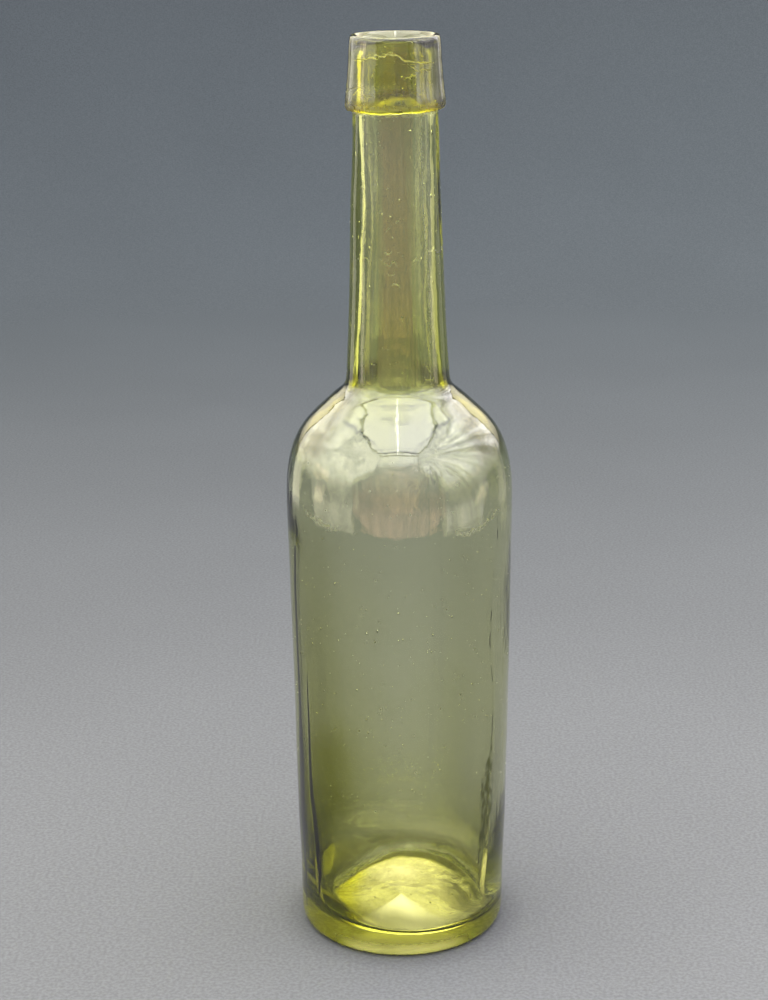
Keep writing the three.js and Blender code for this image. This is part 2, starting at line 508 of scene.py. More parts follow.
# collar: pocket up, over the neck's end, bore up to the mouth, rim, outside down, lip
GAP = 0.02
P_IN = np.array([(13.7 + GAP, LIP_Z + q) for q in (0, 0.03, 0.08, 0.4, 1.2, 2.2)])
P_IN2 = catmull([(13.7 + GAP, 286.5), (13.65 + GAP, 292), (13.6 + GAP, 298.2)], 1.6)
P_END = catmull([(13.6 + GAP, 298.2), (13.5 + GAP, 298.8 + GAP), (13.1, 299.25 + GAP), (12.6, 299.4 + GAP)], 0.25)
P_FACE = catmull([(12.6, 299.4 + GAP), (11.6, 299.4 + GAP), (10.43, 299.4 + GAP)], 0.35)
P_EDGE = np.array([(10.43, 299.4 + GAP), (10.4, 299.42 + GAP)])
P_BORE0 = np.array([(10.4, 299.42 + GAP), (10.4, 299.46 + GAP), (10.4, 299.7)])
P_BORE = catmull([(10.4, 299.7), (10.38, 300.6), (10.42, 302.4), (10.7, 304.1), (11.3, 305.5),
                  (12.1, 306.6), (12.9, 307.3)], 0.4)
P_RIM = catmull([(12.9, 307.3), (13.3, 307.53), (13.65, 307.6), (13.98, 307.47), (14.25, 307.1),
                 (14.42, 306.4), (14.52, 305.2)], 0.25)
P_OUT = catmull([(14.52, 305.2), (14.75, 302.6), (14.98, 299.6), (15.3, 296), (15.5, 293.4),
                 (15.68, 291.6), (15.86, 290), (16.08, 287.9), (16.14, 286.6)], 0.8)
P_LIP = catmull([(16.14, 286.6), (16.12, 285.7), (15.9, 284.95), (15.45, 284.5), (14.8, 284.34),
                 (14.2, 284.3), (13.7 + GAP, LIP_Z)], 0.3)
COLLAR = chain(P_IN, P_IN2, P_END, P_FACE, P_EDGE, P_BORE0, P_BORE, P_RIM, P_OUT, P_LIP)[:-1]
COLLAR = COLLAR[::-1]
n_out = np.zeros(len(COLLAR))


def collar_point(r, z, a, inside):
    push = outer_push(a, np.minimum(z, 290.0)) * 0.0
    pocket = (r < 13.75) & (z < 299.6)
    outside = ~pocket
    lump = (0.07 * waves(a, z, 41, 10, 4, 30) + 0.03 * waves(a, z, 42, 12, 9, 9)) * outside
    rr = r + lump * smooth(z, LIP_Z, LIP_Z + 1.5) * smooth(np.abs(r - 10.4), 0.3, 2.0)
    x = rr * np.cos(a)
    y = rr * np.sin(a)
    # pocket follows the neck's sheared end, the bore above it fades back to level
    lift = smooth(z, 290, 298.5) * np.where(z > 299.5, 1 - smooth(z, 299.6, 303.5), 1.0) * (r < 13.9)
    zz = z + lift * shear(a)
    zz = zz + 0.22 * np.sin(a + 2.1) * smooth(r, 14.0, 15.2) * (1 - smooth(z, 286, 291))
    zz = zz - lip_dip(a, z) * (r > 13.0)
    x = x + bow(z)
    return x, y, zz


def fused_collar(r, z, a, inside):
    return ((r < 13.75) & (z < 299.43) & (r > 10.41)) * smooth(z, LIP_Z + 0.03, LIP_Z + 0.08)


cv, cf, ca = revolve(COLLAR, n_out, collar_point, fused_collar, loop=True)
if signed_volume(cv, cf) < 0:
    cf = [f[::-1] for f in cf]

COLLAR_SKIN = [P_LIP, P_OUT, P_RIM]


shells = []
spots = [(370, 91, .22), (351, 77, .3), (402, 77, .2), (403, 88.6, .26), (402, 96, .2), (442, 71, .3), (441, 89, .26),
         (440.5, 94, .3), (435.5, 101, .28), (412, 43, .16), (385, 47, .14), (437, 79, .16), (371.5, 97.5, .14),
         (418, 93, .16), (353, 95, .2), (427, 86, .14), (395, 84, .12), (443, 104, .24), (349, 103, .2)]
for px_, py_, ra in spots:
    shells.append(seed_shell(skin_point(px_, py_, 0.75, COLLAR_SKIN), ra, ra * 1.1, min(ra, 0.3), 0.0, 2))
cv, cf, ca = add_shells(cv, cf, ca, shells)
collar = make_piece("applied_collar_glass", cv, cf, ca)


# ------------------------------------------------------------------------- materials
class Nodes:
    """Short forms for building a node tree."""

    def __init__(self, tree):
        self.nt = tree

    def new(self, kind, **inputs):
        n = self.nt.nodes.new(kind)
        for k, v in inputs.items():
            self.put(n.inputs[k.replace("_", " ")], v)
        return n

    def put(self, socket, v):
        if isinstance(v, bpy.types.NodeSocket):
            self.nt.links.new(v, socket)
        else:
            socket.default_value = v

    def math(self, op, a, b=None, c=None, clamp=False):
        n = self.nt.nodes.new("ShaderNodeMath")
        n.operation = op
        n.use_clamp = clamp
        for i, v in enumerate((a, b, c)):
            if v is not None:
                self.put(n.inputs[i], v)
        return n.outputs[0]

    def ramp(self, v, lo, hi, a=0.0, b=1.0, kind="SMOOTHSTEP"):
        n = self.nt.nodes.new("ShaderNodeMapRange")
        n.interpolation_type = kind
        for k, x in (("Value", v), ("From Min", lo), ("From Max", hi), ("To Min", a), ("To Max", b)):
            self.put(n.inputs[k], x)
        return n.outputs[0]

    def mix(self, f, a, b):
        n = self.nt.nodes.new("ShaderNodeMix")
        n.data_type = "FLOAT"
        self.put(n.inputs[0], f)
        self.put(n.inputs[2], a)
        self.put(n.inputs[3], b)
        return n.outputs[0]

    def most(self, *vs):
        out = vs[0]
        for v in vs[1:]:
            out = self.math("MAXIMUM", out, v)
        return out


def on_skin(pixels, parts=None):
    """Angle from the front and height (m) of points of the outer surface seen at pixels."""
    q = np.array([skin_point(px, py, 0.0, parts or OUT_SKIN) for px, py in pixels])
    return np.arctan2(q[:, 0], -q[:, 1]), q[:, 2] * MM


def curve(nb, value, xs, ys):
    """A smooth curve through points, as nodes."""
    x0, x1, y0, y1 = min(xs), max(xs), min(ys), max(ys) + 1e-6
    n = nb.new("ShaderNodeFloatCurve", Value=nb.ramp(value, x0, x1, 0.0, 1.0, "LINEAR"))
    c = n.mapping.curves[0]
    pts_ = [((x - x0) / (x1 - x0), (y - y0) / (y1 - y0)) for x, y in zip(xs, ys)]
    c.points[0].location, c.points[1].location = pts_[0], pts_[-1]
    for q in pts_[1:-1]:
        c.points.new(*q)
    n.mapping.update()
    return nb.math("MULTIPLY_ADD", n.outputs[0], y1 - y0, y0)


def mark(nb, ang, z, line, widths, wobble=None):
    """1 along a line down the outer surface, 0 away from it. The line is pixels of the
    photograph's frame from the top down, widths are half widths in mm at the same points."""
    a, h = [v[::-1] for v in on_skin(line)]
    w = np.array(widths)[::-1] * MM / 0.0367
    centre = curve(nb, z, h, a)
    if wobble is not None:
        centre = nb.math("ADD", centre, wobble)
    gap = nb.math("ABSOLUTE", nb.math("SUBTRACT", ang, centre))
    width = curve(nb, z, h, w)
    edge = nb.math("DIVIDE", gap, nb.math("MAXIMUM", width, 1e-5))
    inside = nb.math("MULTIPLY", nb.math("GREATER_THAN", z, float(h[0])), nb.math("LESS_THAN", z, float(h[-1])))
    return nb.math("MULTIPLY", nb.ramp(edge, 0.55, 1.1, 1.0, 0.0), inside)


def stroke(nb, ang, z, line, half, wobble, parts=None):
    """1 along a thin line across the outer surface, its points from left to right."""
    a, h = on_skin(line, parts)
    gap = nb.math("ABSOLUTE", nb.math("SUBTRACT", z, nb.math("ADD", curve(nb, ang, a, h), wobble)))
    inside = nb.math("MULTIPLY", nb.math("GREATER_THAN", ang, float(a[0])), nb.math("LESS_THAN", ang, float(a[-1])))
    return nb.math("MULTIPLY", nb.ramp(gap, half * 0.5 * MM, half * MM, 1.0, 0.0), inside)


CRACKS = [([(356, 58.5), (361.5, 60), (366, 60), (370, 56.5), (377, 59), (380, 55.5), (384, 56.5), (388, 54),
            (392, 55.2), (397, 56), (402, 59), (409, 61.8), (418, 62.3), (427, 63.5), (434, 62.5)], 0.17),
          ([(411.5, 66.5), (414.5, 69), (419, 72)], 0.17), ([(423, 70.9), (427, 70.2), (431, 70.5)], 0.2),
          ([(404.5, 79.2), (410, 77.2), (416, 75)], 0.2), ([(408, 76.4), (411.5, 79.8)], 0.15),
          ([(371, 77.4), (373.6, 73), (375, 68)], 0.3), ([(343, 88.6), (352, 88.4), (362, 89.0)], 0.12),
          ([(370, 110.5), (380, 111.3), (392, 110.8)], 0.12), ([(357, 98), (366, 96.5), (372, 98)], 0.1)]
NICKS = [([(385, 252), (388, 254), (392, 251)], 0.28), ([(384, 262), (389, 266), (394, 262), (397, 268)], 0.2),
         ([(388, 272), (391, 276), (395, 271)], 0.2), ([(392, 286), (396, 284), (400, 287)], 0.28),
         ([(363, 262), (367, 258), (369, 264)], 0.25), ([(435, 248), (439, 252), (442, 247)], 0.4),
         ([(413, 262), (417, 259)], 0.2), ([(424, 374), (429, 381), (434, 377)], 0.2), ([(426, 366), (431, 372)], 0.2),
         ([(386, 232), (389, 228)], 0.2), ([(396, 224), (399, 221)], 0.25)]
ARCS = [([(303, 507), (312, 517), (325, 525), (338, 529)], 0.8), ([(456, 533), (470, 532), (485, 524), (497, 511)], 0.9)]
RIMS = [([(320, 404), (307, 420), (300, 438), (298.3, 456), (299, 480), (301.5, 506)], [0.5, 0.9, 1.2, 1.6, 1.7, 0.7]),
        ([(482, 406), (493, 421), (500, 438), (501.0, 456), (500.0, 480), (498, 508)], [0.5, 0.9, 1.2, 1.6, 1.8, 0.7])]
# painted shade: paths and half widths of the dark lines and the dark patch painted down the body's outer surface
LEFT_SHADE_LINE = [(307.3, 672), (307.6, 690), (308.4, 710), (309.2, 730), (309.9, 755), (310.7, 775), (311.6, 790),
             (313.6, 808), (315.6, 825), (317.2, 845), (318.6, 860), (319.5, 870), (319.5, 880), (318.9, 897)]
LEFT_WIDE = [0.15, 0.45, 0.65, 0.85, 1.1, 1.35, 1.6, 1.75, 1.75, 1.7, 1.6, 1.45, 1.1, 0.5]
RIM_SHADE_LINE = [(295.2, 545), (295.4, 570), (295.9, 600), (297.3, 640), (299.0, 680), (300.3, 720), (301.6, 755),
            (302.4, 790), (303.6, 820), (305.0, 850), (306.2, 880), (307.2, 905)]
RIM_WIDE = [0.8, 1.3, 1.5, 1.4, 1.5, 2.0, 3.2, 3.2, 2.4, 1.8, 1.4, 0.4]
RIGHT_SHADE_LINE = [(499.8, 512), (497.6, 522), (497.6, 540), (495.8, 562), (493.6, 582), (492.3, 600), (491.0, 625),
              (490.0, 650), (491.4, 672), (492.6, 695), (492.7, 715), (492.0, 738), (491.8, 746)]
RIGHT_WIDE = [0.15, 0.35, 0.4, 0.35, 0.35, 0.3, 0.3, 0.35, 0.3, 0.4, 0.35, 0.3, 0.05]
PATCH = [(491.5, 736), (491.0, 752), (488.8, 768), (487.4, 784), (486.8, 800), (485.8, 815), (483.0, 830),
         (480.5, 845), (478.5, 858)]
PATCH_WIDE = [0.3, 1.5, 2.9, 3.6, 4.0, 3.8, 2.8, 1.5, 0.2]
# height of the frame's rows and how dark the thick glass is there, left and right
THICK_ROWS = [500, 520, 540, 560, 600, 680, 760, 800, 830, 860, 880, 900, 916]
THICK_LEFT = [0, 0.12, 0.28, 0.33, 0.39, 0.46, 0.56, 0.88, 1.0, 1.0, 0.80, 0.55, 0.50]
THICK_RIGHT = [0, 0.03, 0.08, 0.15, 0.20, 0.23, 0.30, 0.32, 0.34, 0.42, 0.40, 0.34, 0.30]
NECK_LINES = [([(363.5, 112), (363, 150), (363, 200), (363.5, 250), (364, 300), (363, 330), (363, 352), (364, 384)],
               [0.9, 0.9, 0.9, 1.0, 1.0, 0.5, 0.7, 0.9]),
              ([(421.5, 112), (422, 150), (423, 200), (426, 250), (429, 300), (430, 345), (431, 384)],
               [0.8, 0.8, 0.8, 0.8, 0.8, 0.7, 0.8])]
SCRAPES = [([(506.5, 778), (502, 800), (497, 818), (489, 836), (481, 848)], [0.3, 0.4, 0.4, 0.3, 0.05]),
           ([(507.5, 790), (504, 812), (498, 826), (490, 840), (479, 853)], [0.2, 0.3, 0.4, 0.3, 0.05])]


def glass(name, streaky):
    """Old hand-made glass: one refracting surface with a soaking colour inside. Its surface
    waves, pits, haze, worn foot and scratches come from nodes, and so, for the body, does painted shade in its colour."""
    m = bpy.data.materials.new(name)
    m.use_nodes = True
    m.node_tree.nodes.clear()
    nb = Nodes(m.node_tree)
    out = nb.new("ShaderNodeOutputMaterial")
    p = nb.new("ShaderNodeBsdfPrincipled")
    p.inputs["Transmission Weight"].default_value = 1.0
    p.inputs["IOR"].default_value = 1.52
    p.inputs["Specular IOR Level"].default_value = 0.5 if streaky == 1.0 else 0.25
    nb.put(out.inputs["Surface"], p.outputs[0])
    va = nb.new("ShaderNodeVolumeAbsorption")
    va.inputs["Color"].default_value = (*TINT, 1)
    va.inputs["Density"].default_value = DENSITY
    nb.put(out.inputs["Volume"], va.outputs[0])
    fused = nb.new("ShaderNodeAttribute")
    fused.attribute_name = "fused"
    nb.put(p.inputs["IOR"], nb.ramp(fused.outputs["Fac"], 0.0, 1.0, 1.52, 1.0, "LINEAR"))

    tc = nb.new("ShaderNodeTexCoord").outputs["Object"]
    x, y, z = nb.new("ShaderNodeSeparateXYZ", Vector=tc).outputs
    rad = nb.math("SQRT", nb.math("ADD", nb.math("MULTIPLY", x, x), nb.math("MULTIPLY", y, y)))
    ang = nb.math("ARCTAN2", x, nb.math("MULTIPLY", y, -1.0))

    def noise(scale, detail=2.0, squeeze=(1, 1, 1), rough=0.5):
        mp = nb.new("ShaderNodeMapping", Vector=tc)
        mp.inputs["Scale"].default_value = squeeze
        n = nb.new("ShaderNodeTexNoise", Vector=mp.outputs[0], Scale=scale, Detail=detail, Roughness=rough)
        return n.outputs[0]

    # worn and pitted underside
    foot = nb.math("MULTIPLY", nb.ramp(z, 0.0029, 0.0034, 1.0, 0.0), nb.ramp(rad, 0.0316, 0.0328, 1.0, 0.0))
    ring = nb.math("MULTIPLY", foot, nb.ramp(rad, 0.0262, 0.0275))
    # thin haze and stain in patches
    haze = nb.ramp(noise(60.0, 2.0, (1, 1, 0.6)), 0.45, 0.75)
    # small specks of lime and burst seeds
    vs = nb.new("ShaderNodeTexVoronoi", Vector=tc, Scale=170.0)
    specks = nb.ramp(vs.outputs["Distance"], 0.036, 0.062, 1.0, 0.0)
    dust = nb.new("ShaderNodeTexVoronoi", Vector=tc, Scale=430.0)
    few = nb.new("ShaderNodeSeparateColor", Color=dust.outputs["Color"]).outputs[0]
    dust = nb.math("MULTIPLY", nb.ramp(dust.outputs["Distance"], 0.055, 0.095, 1.0, 0.0), nb.ramp(few, 0.45, 0.9))
    grit = noise(700.0, 2.0)
    inner = nb.new("ShaderNodeAttribute")
    inner.attribute_name = "inner"
    outer = nb.math("SUBTRACT", 1.0, inner.outputs["Fac"])
    specks = nb.math("MULTIPLY", nb.math("MULTIPLY", specks, outer), nb.ramp(z, 0.03, 0.08))
    rough = nb.math("MULTIPLY_ADD", haze, 0.05, 0.015)
    rough = nb.math("MULTIPLY_ADD", specks, 0.9, rough)
    rough = nb.math("MULTIPLY_ADD", nb.math("MULTIPLY", dust, nb.math("MULTIPLY", outer, nb.ramp(z, 0.03, 0.08))), 0.5, rough)
    if streaky == 1.0:
        wob = nb.ramp(noise(230.0, 1.0, (1, 1, 1)), 0.3, 0.7, -0.006, 0.006, "LINEAR")
        fine = nb.ramp(grit, 0.35, 0.6)
        # painted shade: near-black lines down the outer surface, on the left, near the left outline and on the right,
        # stand in for the dark bands that the wall's steps and edges make by refraction
        lines = nb.most(mark(nb, ang, z, LEFT_SHADE_LINE, LEFT_WIDE),
                        mark(nb, ang, z, RIM_SHADE_LINE, RIM_WIDE),
                        nb.math("MULTIPLY", mark(nb, ang, z, RIGHT_SHADE_LINE, RIGHT_WIDE, wob),
                                nb.ramp(noise(110.0, 1.0), 0.42, 0.5, 0.15, 1.0)))
        # painted shade: a dark patch low on the right, broken up by noise
        patch = nb.math("MULTIPLY", mark(nb, ang, z, PATCH, PATCH_WIDE, nb.math("MULTIPLY", wob, 2.5)),
                        nb.ramp(noise(700.0, 2.0, (1, 1, 0.4)), 0.42, 0.62, 1.0, 0.45))
        lines = nb.math("MULTIPLY", lines, outer)
        patch = nb.math("MULTIPLY", patch, outer)
        scrape = nb.math("MULTIPLY", nb.most(*[mark(nb, ang, z, l_, w_) for l_, w_ in SCRAPES]), outer)
        # glass that is thicker towards the left and the foot soaks up more light
        away = nb.math("ABSOLUTE", nb.math("ADD", ang, math.pi / 2))
        away = nb.math("SUBTRACT", math.pi, nb.math("ABSOLUTE", nb.math("SUBTRACT", math.pi, away)))
        rows = on_skin([(322, r_) for r_ in THICK_ROWS])[1][::-1]
        thick = nb.math("MULTIPLY", curve(nb, away, [0, 0.55, 0.73, 0.96, 1.28, 1.7, 3.15], [1.15, 1.1, 1.0, 0.52, 0.17, 0.04, 0.0]),
                        curve(nb, z, rows, THICK_LEFT[::-1]))
        thick = nb.math("MULTIPLY_ADD", nb.ramp(away, 1.75, 2.3), curve(nb, z, rows, THICK_RIGHT[::-1]), thick)
        thick = nb.math("MULTIPLY", nb.math("MINIMUM", thick, 1.0), outer)
        # painted shade: the ragged dark edge of the floor at the back
        off_x = nb.math("SUBTRACT", x, 0.0030)
        rim_r = nb.math("SQRT", nb.math("ADD", nb.math("MULTIPLY", off_x, off_x), nb.math("MULTIPLY", y, y)))
        rag = nb.ramp(noise(160.0, 3.0), 0.3, 0.7, 0.0262, 0.0282, "LINEAR")
        edge = nb.math("ABSOLUTE", nb.math("SUBTRACT", rim_r, rag))
        edge = nb.math("MULTIPLY", nb.ramp(edge, 0.00012, 0.0004, 1.0, 0.0), nb.ramp(y, -0.008, 0.004))
        edge = nb.math("MULTIPLY", nb.math("MULTIPLY", edge, inner.outputs["Fac"]), nb.ramp(z, 0.0105, 0.012, 0.9, 0.0))
        rough = nb.math("MULTIPLY_ADD", scrape, 1.0, rough)
        # weathered nicks and rubbed bands that catch the light
        jag = nb.ramp(noise(500.0, 1.0), 0.3, 0.7, -0.0004, 0.0004, "LINEAR")
        nicks = nb.most(*[stroke(nb, ang, z, l_, h_, jag) for l_, h_ in NICKS])
        rubbed = nb.most(*[stroke(nb, ang, z, l_, h_, nb.math("MULTIPLY", jag, 2.0)) for l_, h_ in ARCS],
                         *[mark(nb, ang, z, l_, w_) for l_, w_ in RIMS])
        rubbed = nb.math("MULTIPLY", rubbed, nb.ramp(grit, 0.42, 0.58, 0.25, 1.0))
        rough = nb.math("MULTIPLY_ADD", nb.math("MULTIPLY", nb.most(nicks, nb.math("MULTIPLY", rubbed, 0.7)), outer), 1.0, rough)
        drawn = nb.most(*[mark(nb, ang, z, l_, w_) for l_, w_ in NECK_LINES])
        rough = nb.math("MULTIPLY_ADD", nb.math("MULTIPLY", drawn, outer), nb.ramp(grit, 0.35, 0.65, 0.22, 0.38), rough)
        # the ring under the lip and the glass round it are grainy
        grainy = nb.math("MULTIPLY", nb.ramp(z, 0.2829, 0.2836), nb.ramp(z, 0.2850, 0.2865, 1.0, 0.0))
        rough = nb.math("MULTIPLY_ADD", grainy, nb.ramp(grit, 0.35, 0.65, 0.1, 0.6), rough)
    else:
        grainy = nb.ramp(z, 0.2855, 0.2880, 1.0, 0.0)
        rough = nb.math("MULTIPLY_ADD", nb.math("MULTIPLY", grainy, outer), nb.ramp(grit, 0.35, 0.65, 0.12, 0.6), rough)
        jag = nb.ramp(noise(600.0, 1.0), 0.3, 0.7, -0.00025, 0.00025, "LINEAR")
        cracks = nb.most(*[stroke(nb, ang, z, l_, h_, jag, COLLAR_SKIN) for l_, h_ in CRACKS])
        rough = nb.math("MULTIPLY_ADD", nb.math("MULTIPLY", cracks, outer), 1.0, rough)
    rough = nb.mix(foot, rough, nb.ramp(grit, 0.3, 0.7, 0.6, 1.0))
    worn = nb.math("MULTIPLY", nb.ramp(z, 0.0048, 0.0062, 1.0, 0.0), nb.ramp(nb.math("ABSOLUTE", ang), 0.6, 0.85, 1.0, 0.0))
    rough = nb.math("MULTIPLY_ADD", nb.math("MULTIPLY", worn, outer), nb.ramp(grit, 0.3, 0.7, 0.32, 0.5), rough)
    nb.put(p.inputs["Roughness"], nb.math("MINIMUM", rough, 1.0))

    # faint stain in the surface
    tone = nb.math("MULTIPLY_ADD", haze, -0.03, 0.99)
    red, green, blue = [nb.math("MULTIPLY", tone, v) for v in ((0.968, 0.980, 1.0) if streaky == 1.0 else (1.01, 1.01, 0.68))]
    if streaky == 1.0:
        # painted shade: the dark patch mixed into the colour
        red = nb.mix(patch, red, 0.075)
        green = nb.mix(patch, green, 0.085)
        blue = nb.mix(patch, blue, 0.004)
        # painted shade: inside, the steps of the wall are painted dark low down, more on the left
        inner_x = nb.math("MULTIPLY_ADD", nb.ramp(z, 0.009, 0.020, 1.0, 0.0), -0.0028, x)
        inner_a = nb.math("ARCTAN2", inner_x, nb.math("MULTIPLY", y, -1.0))
        steps = nb.most(*[nb.ramp(nb.math("ABSOLUTE", nb.math("SUBTRACT", inner_a, c_)), 0.05, 0.10, 1.0, 0.0)
                          for c_ in (-math.radians(58.5), math.radians(55.5))])
        steps = nb.math("MULTIPLY", nb.math("MULTIPLY", steps, inner.outputs["Fac"]),
                        nb.math("MULTIPLY", nb.ramp(z, 0.034, 0.052, 1.0, 0.0), nb.ramp(z, 0.007, 0.009)))
        steps = nb.math("MULTIPLY", steps, nb.ramp(x, -0.01, 0.01, 0.9, 0.45))
        lines = nb.most(lines, edge)
        neck = nb.math("MULTIPLY", nb.math("MULTIPLY", nb.ramp(z, 0.198, 0.233, 1.0, 0.0), nb.ramp(z, 0.190, 0.196)), outer)
        sides = nb.ramp(nb.math("ABSOLUTE", ang), 0.75, 1.05)
        root = nb.math("MULTIPLY", nb.math("MULTIPLY", nb.ramp(z, 0.1905, 0.193), nb.ramp(z, 0.198, 0.202, 1.0, 0.0)), sides)
        root = nb.math("MULTIPLY", root, nb.ramp(nb.math("ABSOLUTE", ang), 2.45, 2.8, 1.0, 0.0))
        red, green, blue = [nb.math("MULTIPLY", v, nb.math("MULTIPLY_ADD", neck, -k, 1.0))
                            for v, k in ((red, 0.02), (green, 0.0), (blue, 0.46))]
        red, green, blue = [nb.math("MULTIPLY", v, nb.math("MULTIPLY_ADD", root, -k, 1.0))
                            for v, k in ((red, 0.82), (green, 0.83), (blue, 0.96))]
        red, green, blue = [nb.math("MULTIPLY", v, nb.math("SUBTRACT", 1.0, steps)) for v in (red, green, blue)]
        blue = nb.math("MULTIPLY", blue, nb.ramp(thick, 0.35, 1.0, 1.0, 0.4, "LINEAR"))
        # darker round the sides of the heel, warmer at the sides of the shoulder
        heel = nb.math("MULTIPLY", nb.ramp(z, 0.008, 0.015, 1.0, 0.0), nb.ramp(nb.math("ABSOLUTE", nb.math("SUBTRACT", ang, 0.05)), 0.62, 0.86))
        heel = nb.math("MULTIPLY", heel, outer)
        flank = nb.math("MULTIPLY", nb.ramp(z, 0.1705, 0.178), nb.ramp(nb.math("ABSOLUTE", ang), 0.70, 0.95))
        flank = nb.math("MULTIPLY", flank, nb.math("MULTIPLY", nb.ramp(z, 0.192, 0.197, 1.0, 0.0), outer))
        flank = nb.math("MULTIPLY", flank, nb.ramp(nb.math("ABSOLUTE", ang), 1.9, 2.5, 1.0, 0.0))
        red = nb.math("MULTIPLY", red, nb.math("MULTIPLY_ADD", heel, -0.45, nb.math("MULTIPLY_ADD", flank, -0.66, 1.0)))
        green = nb.math("MULTIPLY", green, nb.math("MULTIPLY_ADD", heel, -0.46, nb.math("MULTIPLY_ADD", flank, -0.71, 1.0)))
        blue = nb.math("MULTIPLY", blue, nb.math("MULTIPLY_ADD", heel, -0.65, nb.math("MULTIPLY_ADD", flank, -0.88, 1.0)))
        red, green, blue = [nb.math("MULTIPLY", v, nb.math("MULTIPLY_ADD", thick, -k, 1.0))
                            for v, k in ((red, 0.73), (green, 0.72), (blue, 0.975))]
        # painted shade: the lines and the floor's back edge are painted near black
        red, green, blue = [nb.mix(lines, v, 0.004) for v in (red, green, blue)]
    else:
        lip = nb.math("MULTIPLY", nb.math("MULTIPLY", grainy, outer), nb.ramp(nb.math("ABSOLUTE", ang), 0.45, 0.85, 0.25, 1.0))
        red = nb.math("MULTIPLY", red, nb.math("MULTIPLY_ADD", lip, -0.54, 1.0))
        green = nb.math("MULTIPLY", green, nb.math("MULTIPLY_ADD", lip, -0.58, 1.0))
        blue = nb.math("MULTIPLY", blue, nb.math("MULTIPLY_ADD", lip, -0.80, 1.0))
        # the collar is thickest at its sides and deeper in colour there
        deep = nb.math("MULTIPLY", nb.ramp(nb.math("ABSOLUTE", nb.math("ADD", ang, 0.1)), 0.45, 0.85), outer)
        blue = nb.math("MULTIPLY", blue, nb.math("MULTIPLY_ADD", deep, -0.66, 1.0))
        green = nb.math("MULTIPLY", green, nb.math("MULTIPLY_ADD", deep, -0.05, 1.0))
        fall = nb.math("MULTIPLY", nb.ramp(ang, 0.85, 1.2), outer)
        red, green = nb.math("MULTIPLY", red, nb.math("MULTIPLY_ADD", fall, -0.30, 1.0)), nb.math("MULTIPLY", green, nb.math("MULTIPLY_ADD", fall, -0.30, 1.0))
    col = nb.new("ShaderNodeCombineColor", Red=red, Green=green, Blue=blue)
    nb.put(p.inputs["Base Color"], col.outputs[0])

    # height in metres: hand-made waves, drawn streaks up the neck, pits underneath
    h = nb.math("MULTIPLY", noise(190.0, 3.0, (1, 1, 0.5), 0.45), nb.ramp(z, 0.150, 0.168, 0.00006, 0.00012))
    streak = nb.math("MULTIPLY", noise(420.0, 1.0, (1, 1, 0.05)), streaky * 0.00008)
    h = nb.math("MULTIPLY_ADD", streak, nb.ramp(z, 0.19, 0.205), h)
    h = nb.math("MULTIPLY_ADD", foot, nb.math("MULTIPLY", grit, 0.0001), h)
    bump = nb.new("ShaderNodeBump", Height=h, Distance=1.0, Strength=1.0)
    nb.put(p.inputs["Normal"], bump.outputs[0])
    return m


ABS = (36.0, 33.5, 145.0)          # absorbed per metre in red, green and blue
DENSITY = 180.0
TINT = tuple(1 - a / DENSITY for a in ABS)
body.data.materials.append(glass("body_glass_mat", 1.0))
collar.data.materials.append(glass("collar_glass_mat", 0.6))

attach(body, "root")
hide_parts("blown_body")
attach(collar, "root")
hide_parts("applied_collar")


# --------------------------------------------------------------------- floor and sweep
# The studio is a white light tent round a strip of grey cloth. Its walls, ceiling and
# open front are given by direction from the bottle's shoulder, on a large round sweep
# and on the world above it, so that every camera stands inside it.
EYE = (0.0, 0.0, 0.16)
SIDE, FRONT, BACK, TOP = 0.67, 1.05, 0.80, 1.19
PANEL, ROOM, REAR = 6.6, 0.7, 6.0


